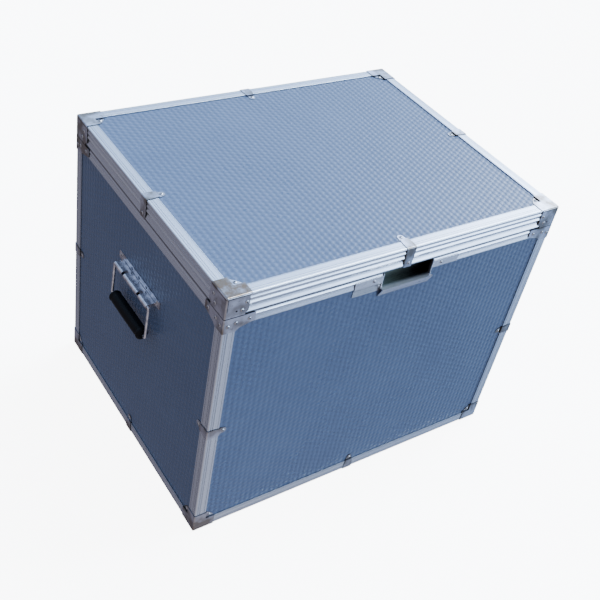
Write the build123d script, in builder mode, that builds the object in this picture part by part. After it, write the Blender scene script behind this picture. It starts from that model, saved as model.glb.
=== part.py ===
"""Telescope carry case: a panelled box in aluminium edge profiles, with a hinged lid and two drop handles.

Millimetres, +Z up. The origin is at the middle of the case, on the surface that it stands on.
The front, with the finger dish, faces -Y. The handles are on -X and +X, and the hinges on +Y.
"""

from build123d import *
import os
from math import cos, radians, sin

os.makedirs("parts", exist_ok=True)

# The case over its corner braces
CASE_WIDTH = 626.0
CASE_DEPTH = 492.0
CASE_HEIGHT = 500.0
LID_HEIGHT = 37.0  # down to the middle of the closing line
SEAM_GAP = 0.6

# Sheet and profile sizes
BRACE_T = 1.0
FLANGE = 20.0  # width of each profile's visible flange
FLANGE_T = 1.8
WALL_T = 1.5  # the profiles' inner walls
PANEL_T = 6.0
PANEL_SINK = 2.0  # how far a panel's face lies below the profiles' faces
SLOT_FAR = 8.3  # far side of the slot that holds a panel, from the profile's face
INNER = SLOT_FAR + WALL_T  # depth of a profile's inner wall
FIT = 0.2  # clearance between a panel and its slot
MITRE_GAP = 0.1

HALF_W = CASE_WIDTH / 2 - BRACE_T
HALF_D = CASE_DEPTH / 2 - BRACE_T
Z_LOW = BRACE_T
Z_HIGH = CASE_HEIGHT - BRACE_T
Z_SEAM = CASE_HEIGHT - LID_HEIGHT
LID_LOW = Z_SEAM + SEAM_GAP / 2
RIM_HIGH = Z_SEAM - SEAM_GAP / 2

# Grooves and ribs on the closing profiles
STEP = 1.2  # how far the faces beside the closing line lie back
LID_WEB = 3.6  # inner face of the lid profile's web
RIM_LOW = 445.5
RIM_SHELF = 455.0  # top of the slot that holds a wall panel
TONGUE_OUT = 5.0
TONGUE_T = 1.8
TONGUE_H = 4.0

# Finger dish in the front, under the closing line
DISH_X = 6.0
DISH_HALF = 47.5
DISH_T = 1.2
DISH_DEPTH = 16.0
DISH_FLOOR = 434.2
DISH_LIP_OUT = 7.3
DISH_LIP_Z = 436.3
DISH_APRON_Z = 418.6
DISH_FLANGE = 52.0
DISH_FLANGE_TOP = 459.0
DISH_LEFT_LOW = 430.5
DISH_RIGHT_LOW = 446.5

# Hinges
HINGE_X = 190.0
HINGE_HALF = 30.0
KNUCKLES = 5
KNUCKLE_R = 3.5
KNUCKLE_GAP = 0.3
LEAF_T = 1.5
LEAF_REACH = 28.0
PIN_R = 1.5
PIN_HEAD_R = 2.6
PIN_HEAD_T = 1.2
PIN_FIT = 0.05
PIN_Y = HALF_D + KNUCKLE_R + 0.3
PIN_Z = Z_SEAM

# Drop handles
PIVOT_OUT = 13.5  # the bail's pivot from the panel's face
PIVOT_Z = 337.5
BARREL_R = 4.25
BARREL_HALF = 57.0
BRACKET_T = 1.2
BRACKET_HALF = 71.0
BRACKET_TOP = 352.5
SHELF_T = 1.5
SLOT_Y = 26.5
SLOT_WIDE = 6.5
SLOT_IN = 7.0  # how far from the panel's face a slot starts
WIRE_R = 2.5
WIRE_FIT = 0.05
WIRE_BEND = 4.0
LEG_Y = 60.5
LEG_LONG = 61.0
STUB_END = 44.0
PLATE_HOLE_R = 2.8
PLATE_HOLE_Z = 347.2
PLATE_HOLE_PITCH = 25.0
PLATE_CORNER_R = 3.0
GRIP_END_R = 3.5
LEAN = 2.2  # degrees that the hanging bail leans out
GRIP_R = 11.0
GRIP_HALF = 52.5

# Rivets
HEAD_R = 3.0
HEAD_H = 1.3
SHANK_R = 1.6
SHANK_L = 5.0
SHANK_FIT = 0.05
PIT_R = 1.3

# Foam lining
WALL_FOAM_T = 12.0
WALL_FOAM_TOP = 430.0
FLOOR_FOAM_T = 25.0
FOAM_GAP = 0.2
LID_FOAM_EDGE = 12.0
LID_FOAM_LOW = 466.0
FOAM_LOW = Z_LOW + INNER + FOAM_GAP

# Each side: its name, the turn of its outward normal from -Y, half its length and its distance out
SIDES = {
    "front": (0, HALF_W, HALF_D),
    "right": (90, HALF_D, HALF_W),
    "rear": (180, HALF_W, HALF_D),
    "left": (270, HALF_D, HALF_W),
}


def directions(side):
    """A side's outward normal, and its direction to the right as seen from outside."""
    turn = radians(SIDES[side][0])
    return Vector(sin(turn), -cos(turn), 0), Vector(cos(turn), sin(turn), 0)


def section_plane(side):
    """Cuts across a side's profiles: x runs inwards from the profile's face and y runs up."""
    outward, along = directions(side)
    return Plane(origin=outward * SIDES[side][2], x_dir=-outward, z_dir=along)


def face_plane(side, along_by=0.0, height=0.0, out=0.0):
    """Lies on a side's outer face: x runs to the right, y runs up and z runs outwards."""
    outward, along = directions(side)
    origin = outward * (SIDES[side][2] + out) + along * along_by + Vector(0, 0, height)
    return Plane(origin=origin, x_dir=along, z_dir=outward)


def mitre(side):
    """Trims both ends of a side's profile at 45 degrees."""
    outward, along = directions(side)
    half, out = SIDES[side][1:]
    for end in (1, -1):
        corner = outward * out + along * end * (half - MITRE_GAP)
        split(bisect_by=Plane(origin=corner, z_dir=along * end - outward), keep=Keep.BOTTOM)


# ---------------------------------------------------------------- rivet places


def corner_sites(side, along_by, height, out):
    """The two places at a side's ends that mirror each other."""
    half = SIDES[side][1]
    return [face_plane(side, end * (half - along_by), height, out) for end in (1, -1)]


TAB_LOW = 0.05 - PANEL_SINK  # a tab's back, which lies on a panel
TAB_FACE = TAB_LOW + BRACE_T  # a tab's outer face
TAB_RIVET = 27.5  # a tab's rivet from the case's edges
MID_POST = (Z_LOW + FLANGE + RIM_LOW) / 2

lid_sites = []
base_sites = []
for side in SIDES:
    for along_by, height in ((31.5, 486.0), (25.5, 473.5)):
        lid_sites += corner_sites(side, along_by, height, BRACE_T)
    lid_sites.append(face_plane(side, 0, 471.5, BRACE_T))
    for along_by, height in ((40.0, 454.0), (19.0, 452.5), (7.0, 449.0)):
        base_sites += corner_sites(side, along_by, height, BRACE_T)
    base_sites += corner_sites(side, TAB_RIVET, Z_LOW + TAB_RIVET, TAB_FACE)
    base_sites += corner_sites(side, TAB_RIVET, MID_POST, TAB_FACE)
    base_sites.append(face_plane(side, 0, Z_LOW + TAB_RIVET, TAB_FACE))
for x, y in (
    *((i * (HALF_W - TAB_RIVET), j * (HALF_D - TAB_RIVET)) for i in (1, -1) for j in (1, -1)),
    *((0, j * (HALF_D - TAB_RIVET)) for j in (1, -1)),
    *((i * (HALF_W - TAB_RIVET), 0) for i in (1, -1)),
):
    lid_sites.append(Plane(origin=(x, y, Z_HIGH + TAB_FACE), z_dir=(0, 0, 1)))
for along_by in (-HINGE_X - 18, -HINGE_X + 18, HINGE_X - 18, HINGE_X + 18):
    lid_sites.append(face_plane("rear", along_by, PIN_Z + 18, LEAF_T))
    base_sites.append(face_plane("rear", along_by, PIN_Z - 16, LEAF_T))
base_sites.append(face_plane("front", DISH_X - 65, 453.5, DISH_T))
base_sites.append(face_plane("front", DISH_X + 65, 453.5, DISH_T))
for side in ("left", "right"):
    for along_by in (-62.0, 62.0):
        base_sites.append(face_plane(side, along_by, PLATE_HOLE_Z, BRACKET_T - PANEL_SINK))


def drill(builder, sites):
    """Opens the shank holes of the rivets that reach into the part being built."""
    box = builder.part.bounding_box()
    reach = Vector(SHANK_L, SHANK_L, SHANK_L)
    low, high = box.min - reach, box.max + reach
    near = [
        site.location
        for site in sites
        if low.X < site.origin.X < high.X
        and low.Y < site.origin.Y < high.Y
        and low.Z < site.origin.Z < high.Z
    ]
    if near:
        with Locations(*near):
            Cylinder(SHANK_R + SHANK_FIT, 2 * (SHANK_L + SHANK_FIT), mode=Mode.SUBTRACT)


def save(builder, name):
    builder.part.label = name
    export_step(builder.part, f"parts/{name}.step")


# ---------------------------------------------------------------- panels


WALL_LOW = Z_LOW + FLANGE_T + FIT
WALL_HIGH = RIM_SHELF - FIT
for side in SIDES:
    with BuildPart() as panel:
        with BuildSketch(face_plane(side, 0, (WALL_LOW + WALL_HIGH) / 2, -PANEL_SINK)):
            Rectangle(2 * (SIDES[side][1] - INNER - FIT), WALL_HIGH - WALL_LOW)
        extrude(amount=-PANEL_T)
        if side == "front":
            with BuildSketch(face_plane(side, DISH_X, WALL_HIGH, 0)):
                Rectangle(2 * (DISH_HALF + DISH_T + 0.3), 2 * (WALL_HIGH - DISH_FLOOR + 1.8))
            extrude(amount=-2 * INNER, mode=Mode.SUBTRACT)
        drill(panel, base_sites)
    save(panel, f"{side}_panel")

with BuildPart() as bottom_panel:
    with BuildSketch(Plane.XY.offset(Z_LOW + PANEL_SINK)):
        Rectangle(2 * (HALF_W - INNER - FIT), 2 * (HALF_D - INNER - FIT))
    extrude(amount=PANEL_T)
save(bottom_panel, "bottom_panel")

with BuildPart() as top_panel:
    with BuildSketch(Plane.XY.offset(Z_HIGH - PANEL_SINK)):
        Rectangle(2 * (HALF_W - LID_WEB - FIT), 2 * (HALF_D - LID_WEB - FIT))
    extrude(amount=-PANEL_T)
    drill(top_panel, lid_sites)
save(top_panel, "top_panel")

# ---------------------------------------------------------------- profiles

EDGE_R = 1.8
LID_FLANGE = 18.4
# Ridges of a closing profile's outer face: how deep the valley above a ridge is, and how far below the top
# the valley and the ridge's crest lie
LID_FACE_TOP = 2.0
LID_RIDGES = ((0.9, 6.2, 9.2), (1.2, 14.6, 18.2), (2.1, 24.0, 32.2))
RIM_RIDGES = ((1.0, 37.6, 40.6), (1.2, 43.4, 51.6))
LID_STEP_DOWN = 1.6  # from the lid's last crest down to the set back strip
RIDGE_HOLLOW = 0.6  # how deep a ridge's slope lies at half its height, as a share of its valley
FLANGE_LINES = (4.6, 8.2, 16.6)  # fine lines drawn along each flange, from its outer edge
LINE_WIDE = 0.5
LINE_DEEP = 0.35


def bar(x0, y0, x1, y1, mode=Mode.ADD):
    """A rectangle of a profile's section, by its corners."""
    with Locations(((x0 + x1) / 2, (y0 + y1) / 2)):
        Rectangle(abs(x1 - x0), abs(y1 - y0), mode=mode)


def ridged_face(here, ridges):
    """Draws valleys and ridges down from here. Each ridge slopes outwards, a little hollow, to its crest."""
    for deep, valley, crest in ridges:
        foot = (deep, Z_HIGH - valley)
        middle = (RIDGE_HOLLOW * deep, Z_HIGH - (valley + crest) / 2)
        Line(here, foot)
        here = (0, Z_HIGH - crest)
        ThreePointArc(foot, middle, here)
    return here


# The lid's profile: a ridged web, and a slot under the top flange for the top panel
for side in SIDES:
    with BuildPart() as rail:
        with BuildSketch(section_plane(side)) as section:
            with BuildLine():
                crest = ridged_face((0, Z_HIGH - LID_FACE_TOP), LID_RIDGES)
                Polyline(
                    crest,
                    (STEP, crest[1] - LID_STEP_DOWN),
                    (STEP, LID_LOW),
                    (LID_WEB, LID_LOW),
                    (LID_WEB, Z_HIGH - INNER),
                    (LID_FLANGE, Z_HIGH - INNER),
                    (LID_FLANGE, Z_HIGH - SLOT_FAR),
                    (LID_WEB, Z_HIGH - SLOT_FAR),
                    (LID_WEB, Z_HIGH - FLANGE_T),
                    (LID_FLANGE, Z_HIGH - FLANGE_T),
                    (LID_FLANGE, Z_HIGH),
                    (0, Z_HIGH),
                    (0, Z_HIGH - LID_FACE_TOP),
                )
            make_face()
            fillet(section.vertices().sort_by_distance((0, Z_HIGH))[0], EDGE_R)
            tip = section.vertices().sort_by_distance((LID_FLANGE, Z_HIGH))[0]
            fillet(tip, FLANGE_T / 3)
            for place in FLANGE_LINES:
                bar(place, Z_HIGH - LINE_DEEP, place + LINE_WIDE, Z_HIGH, Mode.SUBTRACT)
        extrude(amount=SIDES[side][1], both=True)
        mitre(side)
        drill(rail, lid_sites)
    save(rail, f"{side}_lid_rail")

# The base's rim: a ridged face, a tongue that stands up inside the lid, and a slot for the wall panel
for side in SIDES:
    with BuildPart() as rim:
        with BuildSketch(section_plane(side)):
            with BuildLine():
                crest = ridged_face((STEP, RIM_HIGH), RIM_RIDGES)
                Polyline(
                    crest,
                    (0.5, RIM_LOW + 1.4),
                    (0.5, RIM_LOW),
                    (FLANGE_T, RIM_LOW),
                    (FLANGE_T, RIM_SHELF),
                    (SLOT_FAR, RIM_SHELF),
                    (SLOT_FAR, RIM_LOW),
                    (INNER, RIM_LOW),
                    (INNER, RIM_HIGH),
                    (TONGUE_OUT + TONGUE_T, RIM_HIGH),
                    (TONGUE_OUT + TONGUE_T, RIM_HIGH + TONGUE_H),
                    (TONGUE_OUT, RIM_HIGH + TONGUE_H),
                    (TONGUE_OUT, RIM_HIGH),
                    (STEP, RIM_HIGH),
                )
            make_face()
            bar(STEP + FLANGE_T, RIM_SHELF + WALL_T, SLOT_FAR, RIM_HIGH - WALL_T, Mode.SUBTRACT)
        extrude(amount=SIDES[side][1], both=True)
        mitre(side)
        drill(rim, base_sites)
    if side == "front":
        for half, x in (("left", DISH_X - DISH_HALF - DISH_T), ("right", DISH_X + DISH_HALF + DISH_T)):
            keep = Keep.BOTTOM if half == "left" else Keep.TOP
            shift = -0.3 if half == "left" else 0.3
            with BuildPart() as part_rim:
                add(rim.part)
                split(bisect_by=Plane.YZ.offset(x + shift), keep=keep)
            save(part_rim, f"front_rim_rail_{half}")
    else:
        save(rim, f"{side}_rim_rail")

# The bottom profile: an angle with one slot for the wall panel and one for the bottom panel
for side in SIDES:
    with BuildPart() as rail:
        with BuildSketch(section_plane(side)) as section:
            bar(0, Z_LOW, FLANGE, Z_LOW + FLANGE_T)
            bar(0, Z_LOW, FLANGE_T, Z_LOW + FLANGE)
            bar(SLOT_FAR, Z_LOW, INNER, Z_LOW + FLANGE)
            bar(SLOT_FAR, Z_LOW + SLOT_FAR, FLANGE, Z_LOW + INNER)
            fillet(section.vertices().sort_by_distance((0, Z_LOW))[0], EDGE_R)
            for place in FLANGE_LINES:
                bar(place, Z_LOW, place + LINE_WIDE, Z_LOW + LINE_DEEP, Mode.SUBTRACT)
                bar(0, Z_LOW + place, LINE_DEEP, Z_LOW + place + LINE_WIDE, Mode.SUBTRACT)
        extrude(amount=SIDES[side][1], both=True)
        mitre(side)
        drill(rail, base_sites)
    save(rail, f"{side}_bottom_rail")

# The corner post: an angle round a square tube, with a slot for each wall panel


def corner_plane(x_side, y_side, height):
    """At a case corner, with both axes running inwards for the front left one and mirrored for the rest."""
    return Plane(origin=(x_side * HALF_W, y_side * HALF_D, height))


CORNERS = {
    "front_left": (-1, -1),
    "front_right": (1, -1),
    "rear_left": (-1, 1),
    "rear_right": (1, 1),
}

with BuildPart() as front_left_post:
    with BuildSketch(corner_plane(-1, -1, Z_LOW + FLANGE + FIT)) as section:
        bar(0, 0, FLANGE, FLANGE_T)
        bar(0, 0, FLANGE_T, FLANGE)
        bar(0, 0, INNER, INNER)
        bar(FLANGE_T, FLANGE_T, SLOT_FAR, SLOT_FAR, Mode.SUBTRACT)
        bar(INNER, SLOT_FAR, FLANGE, INNER)
        bar(SLOT_FAR, INNER, INNER, FLANGE)
        fillet(section.vertices().sort_by_distance((0, 0))[0], EDGE_R)
        for place in FLANGE_LINES:
            bar(place, 0, place + LINE_WIDE, LINE_DEEP, Mode.SUBTRACT)
            bar(0, place, LINE_DEEP, place + LINE_WIDE, Mode.SUBTRACT)
    extrude(amount=RIM_LOW - Z_LOW - FLANGE - 2 * FIT)


def save_corners(front_left, kind, sites):
    """Saves a front left corner piece and its three mirror images."""
    for name, (x_side, y_side) in CORNERS.items():
        image = front_left.part
        if x_side > 0:
            image = mirror(image, about=Plane.YZ)
        if y_side > 0:
            image = mirror(image, about=Plane.XZ)
        with BuildPart() as piece:
            add(image)
            drill(piece, sites)
        save(piece, f"{name}_{kind}")


save_corners(front_left_post, "post", base_sites)

# ---------------------------------------------------------------- corner braces

BLANK = 60.0  # a brace's blank before its outline is cut
BEND_R = 2.0
BRACE_BEND_R = 2.4
TAB_IN = FLANGE + FIT  # where a brace steps down from a flange to a panel
LOBE_ARC = 43.0  # a lobe's round edge, about the case's corner
SHEET_CORNER_R = 7.0
FOLD_GAP_DROP = 2.6  # from a lid brace's top down to the open fold under its top sheet
FOLD_GAP = 0.9
FOLD_GAP_DEEP = 0.7
UPRIGHT_GAP_IN = 1.7
UPRIGHT_GAP_LOW = 475.0


def wrapped_blank(z_face, height):
    """Sheet wrapped round the front left corner, closed by a face at z_face, height away from its far end."""
    inward = 1 if height > 0 else -1
    with BuildPart() as blank:
        with BuildSketch(corner_plane(-1, -1, z_face - inward * BRACE_T)):
            bar(-BRACE_T, -BRACE_T, BLANK, BLANK)
        extrude(amount=height + inward * BRACE_T)
        corner = (-HALF_W - BRACE_T, -HALF_D - BRACE_T, z_face - inward * BRACE_T)
        fillet(blank.edges().sort_by_distance(corner)[:3], BRACE_BEND_R)
        with BuildSketch(corner_plane(-1, -1, z_face)):
            bar(0, 0, BLANK + 1, BLANK + 1)
        extrude(amount=height + inward, mode=Mode.SUBTRACT)
    return blank


def add_lobe(plane):
    """Steps a brace down from the flanges onto the panel, as a tab with a round edge."""
    with BuildSketch(plane.offset(TAB_LOW)) as pad:
        Circle(LOBE_ARC)
        bar(TAB_IN, TAB_IN, BLANK, BLANK, Mode.INTERSECT)
    extrude(pad.sketch, amount=BRACE_T)
    with BuildSketch(plane.offset(TAB_LOW)) as walls:
        bar(TAB_IN, TAB_IN, TAB_IN + BRACE_T, BLANK)
        bar(TAB_IN, TAB_IN, BLANK, TAB_IN + BRACE_T)
        Circle(LOBE_ARC, mode=Mode.INTERSECT)
    extrude(walls.sketch, amount=BRACE_T - TAB_LOW)


def face_outline(front, points):
    """A slab over the front or the left face near the front left corner, by points of (inwards, height)."""
    if front:
        plane = Plane(origin=(-HALF_W, -HALF_D, 0), x_dir=(1, 0, 0), z_dir=(0, -1, 0))
        places = points
    else:
        plane = Plane(origin=(-HALF_W, -HALF_D, 0), x_dir=(0, 0, 1), z_dir=(-1, 0, 0))
        places = [(height, inwards) for inwards, height in points]
    with BuildSketch(plane.offset(-0.01)) as slab:
        with BuildLine():
            Polyline(*places, close=True)
        make_face()
    extrude(slab.sketch, amount=BRACE_T + 1)


LID_BRACE = 39.0
top_plane = corner_plane(-1, -1, Z_HIGH)
low_end = LID_LOW + 0.3
with BuildPart() as lid_brace_outline:
    with BuildSketch(top_plane.offset(-0.01)) as sheet:
        bar(-BRACE_T - 1, -BRACE_T - 1, LID_BRACE, TAB_IN + BRACE_T)
        bar(-BRACE_T - 1, -BRACE_T - 1, TAB_IN + BRACE_T, LID_BRACE)
    extrude(amount=BRACE_T + 1)
    for front, wide in ((True, 36.0), (False, 41.0)):
        face_outline(
            front,
            [
                (-2, CASE_HEIGHT + 1),
                (wide, CASE_HEIGHT + 1),
                (wide, Z_HIGH - 29),
                (wide - 4.5, Z_HIGH - 31.5),
                (wide - 4.5, low_end),
                (-2, low_end),
            ],
        )
lid_blank = wrapped_blank(Z_HIGH, -BLANK)
with BuildPart() as lid_brace:
    add(lid_blank.part)
    add(lid_brace_outline.part, mode=Mode.INTERSECT)
    add_lobe(top_plane)
    with Locations(Plane(origin=(-HALF_W + 17, -HALF_D, 473.5), z_dir=(0, -1, 0)).location):
        Cylinder(SHANK_R, 2 * SHANK_L, mode=Mode.SUBTRACT)
    # The folds stay open: a gap under the top sheet, and one beside the upright edge
    gap_in = FOLD_GAP_DEEP - BRACE_T
    with BuildSketch(top_plane.offset(BRACE_T - FOLD_GAP_DROP - FOLD_GAP)):
        bar(-BRACE_T - 1, -BRACE_T - 1, BLANK, gap_in)
        bar(-BRACE_T - 1, -BRACE_T - 1, gap_in, BLANK)
    extrude(amount=FOLD_GAP, mode=Mode.SUBTRACT)
    upright = Plane(origin=(-HALF_W, -HALF_D, 0), x_dir=(1, 0, 0), z_dir=(0, -1, 0))
    with BuildSketch(upright.offset(-gap_in)):
        bar(UPRIGHT_GAP_IN, UPRIGHT_GAP_LOW, UPRIGHT_GAP_IN + FOLD_GAP, CASE_HEIGHT - FOLD_GAP_DROP)
    extrude(amount=BRACE_T + 1, mode=Mode.SUBTRACT)
save_corners(lid_brace, "lid_brace", lid_sites)

# Rim brace, which wraps the corner below the closing line and reaches down the post
RIM_BRACE_TOP = RIM_HIGH - 0.4
with BuildPart() as rim_brace_outline:
    for front in (True, False):
        face_outline(
            front,
            [
                (-2, RIM_BRACE_TOP),
                (49.0, RIM_BRACE_TOP),
                (49.0, 448.0),
                (25.0, 441.5),
                (19.5, 437.0),
                (-2, 437.0),
            ],
        )
with BuildPart() as rim_brace:
    with BuildSketch(corner_plane(-1, -1, 430.0)) as section:
        bar(-BRACE_T, -BRACE_T, BLANK, BLANK)
        bar(0, 0, BLANK, BLANK, Mode.SUBTRACT)
        fillet(section.vertices().sort_by_distance((-BRACE_T, -BRACE_T))[0], BEND_R)
    extrude(amount=40)
    add(rim_brace_outline.part, mode=Mode.INTERSECT)
save_corners(rim_brace, "rim_brace", base_sites)

# Bottom cap, over all three faces of a bottom corner
CAP = 37.0
low_plane = corner_plane(-1, -1, Z_LOW)
with BuildPart() as cap_outline:
    with BuildSketch(low_plane.offset(-BRACE_T - 1)) as sheet:
        bar(-BRACE_T - 1, -BRACE_T - 1, CAP, CAP)
        fillet(sheet.vertices().sort_by_distance((CAP, CAP))[0], SHEET_CORNER_R)
    extrude(amount=BRACE_T + 1.01)
    for front in (True, False):
        face_outline(
            front,
            [
                (-2, -1),
                (CAP, -1),
                (CAP, Z_LOW + TAB_IN + BRACE_T),
                (TAB_IN + BRACE_T, Z_LOW + TAB_IN + BRACE_T),
                (TAB_IN + BRACE_T, Z_LOW + CAP),
                (-2, Z_LOW + CAP),
            ],
        )
cap_blank = wrapped_blank(Z_LOW, BLANK)
with BuildPart() as bottom_cap:
    add(cap_blank.part)
    add(cap_outline.part, mode=Mode.INTERSECT)
    add_lobe(Plane(origin=(-HALF_W, -HALF_D, Z_LOW), x_dir=(1, 0, 0), z_dir=(0, -1, 0)))
    add_lobe(Plane(origin=(-HALF_W, -HALF_D, Z_LOW), x_dir=(0, 0, 1), z_dir=(-1, 0, 0)))
save_corners(bottom_cap, "bottom_cap", base_sites)

# ---------------------------------------------------------------- edge clips

CLIP_WIDE = 17.5
CLIP_REACH = 33.5
CLIP_TIP_R = 5.5
CLIP_FOOT_WIDE = 14.0  # lower end of a lid clip's long leg
CLIP_SLAB = 3.0
TAB_OUT = -TAB_FACE  # inwards from the profile's face
TAB_BACK = -TAB_LOW
LONG_LEG = Z_HIGH - low_end


def edge_clip(origin, inward_a, inward_b, long_leg=False):
    """A strap bent round an edge. Each leg narrows and steps down to a riveted tab on the panel.

    The two faces run from the edge along inward_a and inward_b. A long leg stays flat along inward_b.
    """
    tab_a = [(TAB_IN + BRACE_T, -BRACE_T), (TAB_IN + BRACE_T, TAB_OUT), (CLIP_REACH, TAB_OUT)]
    tab_a += [(CLIP_REACH, TAB_BACK), (TAB_IN, TAB_BACK), (TAB_IN, 0)]
    leg_b = [(y, x) for x, y in reversed(tab_a)]
    if long_leg:
        leg_b = [(0, LONG_LEG), (-BRACE_T, LONG_LEG)]
    with BuildPart() as outline:
        for inward, outward in ((inward_a, -inward_b), (inward_b, -inward_a)):
            with BuildSketch(Plane(origin=origin, x_dir=inward, z_dir=outward).offset(-CLIP_SLAB)):
                if long_leg and inward is inward_b:
                    tip = LONG_LEG
                    tip_half = CLIP_FOOT_WIDE / 2
                else:
                    tip = CLIP_REACH - CLIP_TIP_R
                    tip_half = CLIP_TIP_R
                    with Locations((tip, 0)):
                        Circle(CLIP_TIP_R)
                with BuildLine():
                    Polyline(
                        (-CLIP_SLAB, -CLIP_WIDE / 2),
                        (TAB_IN / 2, -CLIP_WIDE / 2),
                        (tip, -tip_half),
                        (tip, tip_half),
                        (TAB_IN / 2, CLIP_WIDE / 2),
                        (-CLIP_SLAB, CLIP_WIDE / 2),
                        close=True,
                    )
                make_face()
            extrude(amount=2 * CLIP_SLAB)
    with BuildPart() as clip:
        with BuildSketch(Plane(origin=origin, x_dir=inward_a, z_dir=inward_a.cross(inward_b))) as section:
            with BuildLine():
                Polyline((-BRACE_T, -BRACE_T), *tab_a, (0, 0), *leg_b, close=True)
            make_face()
            fillet(section.vertices().sort_by_distance((-BRACE_T, -BRACE_T))[0], BEND_R)
        extrude(amount=CLIP_WIDE / 2, both=True)
        add(outline.part, mode=Mode.INTERSECT)
    return clip


UP = Vector(0, 0, 1)
front_left_clip = edge_clip(Vector(-HALF_W, -HALF_D, MID_POST), Vector(1, 0, 0), Vector(0, 1, 0))
with BuildPart() as post_clips:
    for x_side, y_side in CORNERS.values():
        image = front_left_clip.part
        if x_side > 0:
            image = mirror(image, about=Plane.YZ)
        if y_side > 0:
            image = mirror(image, about=Plane.XZ)
        add(image)
    drill(post_clips, base_sites)
save(post_clips, "post_clips")

low_clips = []
for side in SIDES:
    outward = directions(side)[0]
    low_clips.append(edge_clip(outward * SIDES[side][2] + UP * Z_LOW, -outward, UP))
with BuildPart() as bottom_clips:
    for clip in low_clips:
        add(clip.part)
    drill(bottom_clips, base_sites)
save(bottom_clips, "bottom_clips")

for side in SIDES:
    outward = directions(side)[0]
    strap = edge_clip(outward * SIDES[side][2] + UP * Z_HIGH, -outward, -UP, long_leg=True)
    with BuildPart() as lid_clip:
        add(strap.part)
        drill(lid_clip, lid_sites)
    save(lid_clip, f"{side}_lid_clip")

# ---------------------------------------------------------------- finger dish

front_section = section_plane("front")
dish_left = DISH_X - DISH_HALF
dish_right = DISH_X + DISH_HALF
DISH_TOP = RIM_HIGH - 0.5

with BuildPart() as finger_dish:
    # The pocket's back, floor, lip and apron are one bent sheet
    with BuildSketch(front_section.offset(dish_left - DISH_T)):
        with BuildLine():
            Polyline(
                (DISH_DEPTH, DISH_TOP),
                (DISH_DEPTH + DISH_T, DISH_TOP),
                (DISH_DEPTH + DISH_T, DISH_FLOOR - DISH_T),
                (-DISH_LIP_OUT + 1.6, DISH_LIP_Z - DISH_T),
                (1.95, DISH_APRON_Z),
                (0.55, DISH_APRON_Z),
                (-DISH_LIP_OUT, DISH_LIP_Z),
                (DISH_DEPTH, DISH_FLOOR),
                close=True,
            )
        make_face()
    extrude(amount=2 * (DISH_HALF + DISH_T))
    for x in (dish_left - DISH_T, dish_right):
        with BuildSketch(front_section.offset(x)):
            bar(-DISH_T, DISH_FLOOR, DISH_DEPTH + DISH_T, DISH_TOP)
        extrude(amount=DISH_T)
    # The deep left flange steps down from the rim rail onto the panel
    with BuildSketch(front_section.offset(dish_left - DISH_FLANGE)):
        with BuildLine():
            Polyline(
                (-DISH_T, DISH_FLANGE_TOP),
                (-DISH_T, RIM_LOW + 0.6),
                (0.8, RIM_LOW - 3.5),
                (0.8, DISH_LEFT_LOW),
                (1.95, DISH_LEFT_LOW),
                (1.95, RIM_LOW - 4.0),
                (0, RIM_LOW + 0.1),
                (0, DISH_FLANGE_TOP),
                close=True,
            )
        make_face()
    extrude(amount=DISH_FLANGE)
    with BuildSketch(front_section.offset(dish_right)):
        bar(-DISH_T, DISH_RIGHT_LOW, 0, DISH_FLANGE_TOP)
    extrude(amount=DISH_FLANGE)
    drill(finger_dish, base_sites)
save(finger_dish, "finger_dish")

# ---------------------------------------------------------------- hinges

pitch = 2 * HINGE_HALF / KNUCKLES


def hinge_leaf(x, first, up):
    """One leaf: a plate on the rear face, and every second knuckle from the first one."""
    with BuildPart() as leaf:
        near = PIN_Z + up * (KNUCKLE_R + 0.8)
        far = PIN_Z + up * LEAF_REACH
        with BuildSketch(Plane(origin=(x, HALF_D, (near + far) / 2), x_dir=(-1, 0, 0), z_dir=(0, 1, 0))) as plate:
            Rectangle(2 * HINGE_HALF, abs(far - near))
            fillet(plate.vertices().group_by(Axis.Y)[-1 if up > 0 else 0], 4)
        extrude(amount=LEAF_T)
        for k in range(first, KNUCKLES, 2):
            start = x - HINGE_HALF + k * pitch + KNUCKLE_GAP / 2
            with BuildSketch(Plane.YZ.offset(start)):
                with Locations((PIN_Y, PIN_Z)):
                    Circle(KNUCKLE_R)
                bar(HALF_D, PIN_Z, HALF_D + LEAF_T, near)
                with Locations((PIN_Y, PIN_Z)):
                    Circle(PIN_R + PIN_FIT, mode=Mode.SUBTRACT)
            extrude(amount=pitch - KNUCKLE_GAP)
    return leaf


for hinge, x in (("left", -HINGE_X), ("right", HINGE_X)):
    base_leaf = hinge_leaf(x, 0, -1)
    with BuildPart() as base_leaf_drilled:
        add(base_leaf.part)
        drill(base_leaf_drilled, base_sites)
    save(base_leaf_drilled, f"{hinge}_hinge_base_leaf")
    lid_leaf = hinge_leaf(x, 1, 1)
    with BuildPart() as lid_leaf_drilled:
        add(lid_leaf.part)
        drill(lid_leaf_drilled, lid_sites)
    save(lid_leaf_drilled, f"{hinge}_hinge_lid_leaf")

with BuildPart() as hinge_pins:
    for x in (-HINGE_X, HINGE_X):
        with BuildSketch(Plane.YZ.offset(x - HINGE_HALF - 0.2)):
            with Locations((PIN_Y, PIN_Z)):
                Circle(PIN_R)
        extrude(amount=2 * HINGE_HALF + 0.4)
        for start in (x - HINGE_HALF - 0.2 - PIN_HEAD_T, x + HINGE_HALF + 0.2):
            with BuildSketch(Plane.YZ.offset(start)):
                with Locations((PIN_Y, PIN_Z)):
                    Circle(PIN_HEAD_R)
            extrude(amount=PIN_HEAD_T)
save(hinge_pins, "hinge_pins")

# ---------------------------------------------------------------- drop handles

PANEL_X = HALF_W - PANEL_SINK
PIVOT_X = PANEL_X + PIVOT_OUT


def across(y):
    """A plane across the left side's Y axis: x runs outwards from the panel's face and y runs up."""
    return Plane(origin=(-PANEL_X, y, 0), x_dir=(-1, 0, 0), z_dir=(0, 1, 0))


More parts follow.
